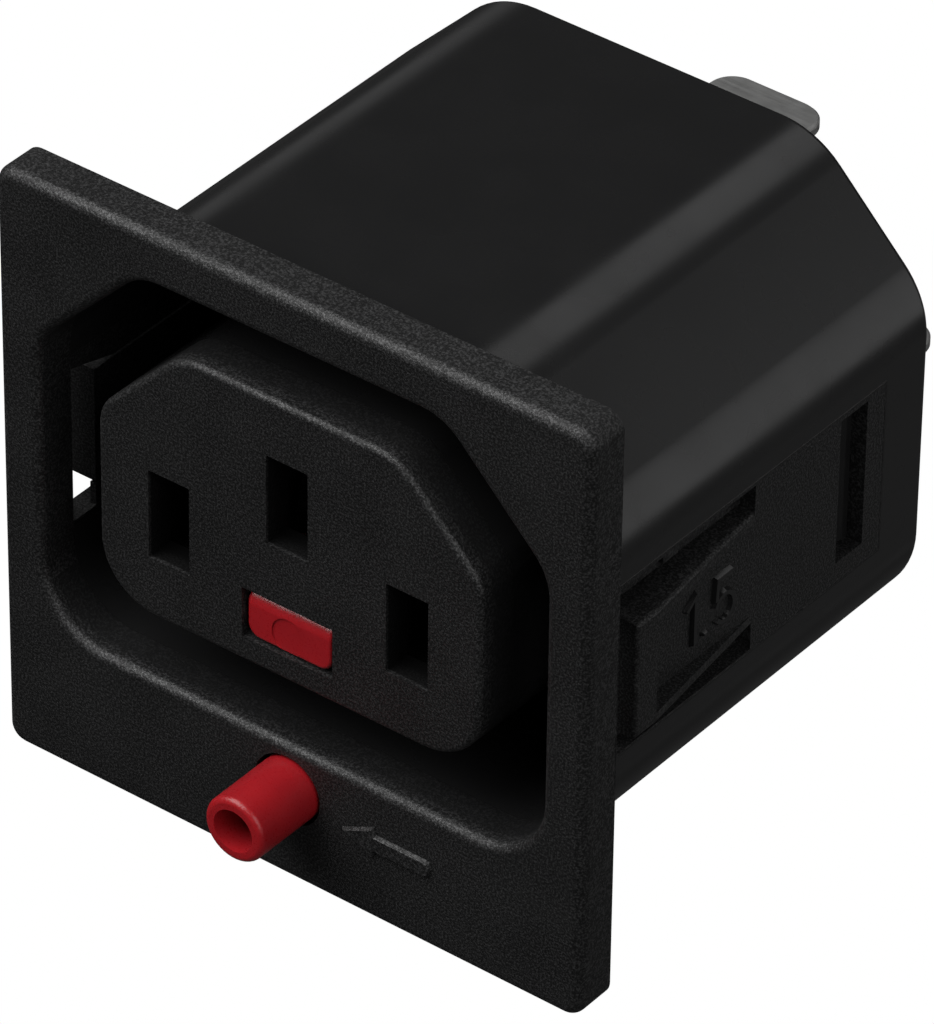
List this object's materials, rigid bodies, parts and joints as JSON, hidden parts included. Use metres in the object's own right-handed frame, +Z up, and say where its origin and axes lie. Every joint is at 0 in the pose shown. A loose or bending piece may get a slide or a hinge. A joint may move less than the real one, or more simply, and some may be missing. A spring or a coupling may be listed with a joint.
{
  "type": "panel mount locking power outlet socket",
  "caption": "Snap-in panel power outlet with a sheet F face, a tilting plate that locks the plug's earth pin, a push release and blade terminals at the rear.",
  "frame": {"origin": "midway between the line and neutral slots, in the plane of the panel's front face, which is the back of the bezel", "axes": "-Y out of the face towards the user, +Y through the panel to the terminals, +X to the right seen from the user, +Z up, the earth slot above the other two"},
  "size_m": [0.0344, 0.0416, 0.0331],
  "materials": {
    "black_moulding": "satin, fine spark-eroded grain on the face",
    "red_moulding": "satin",
    "tinned_brass": "matt tin plate",
    "spring_steel": "plain"
  },
  "bodies": {
    "shell": {"housing": "black_moulding", "rear_cover": "black_moulding", "line_contact": "tinned_brass", "neutral_contact": "tinned_brass", "earth_contact": "tinned_brass", "lock_spring": "spring_steel", "return_spring": "spring_steel"},
    "slider": {"release_slider": "red_moulding"},
    "lock": {"lock_plate": "spring_steel"}
  },
  "joints": [
    {"name": "release_press", "type": "slide", "parent": "shell", "child": "slider", "axis": [0, 1, 0], "range_m": [0, 0.002], "stiffness_N_per_m": 400, "springref_m": -0.002, "deforming": ["return_spring"]},
    {"name": "lock_tilt", "type": "hinge", "parent": "shell", "child": "lock", "pos_m": [0, 0.00312, 0.00818], "axis": [1, 0, 0], "range_deg": [0, 12.5], "stiffness_Nm_per_rad": 0.01, "springref_deg": -11.46, "deforming": ["lock_spring"]}
  ],
  "couplings": [
    {"joint": "lock_tilt", "follows": "release_press", "rad_per_m": 109}
  ]
}
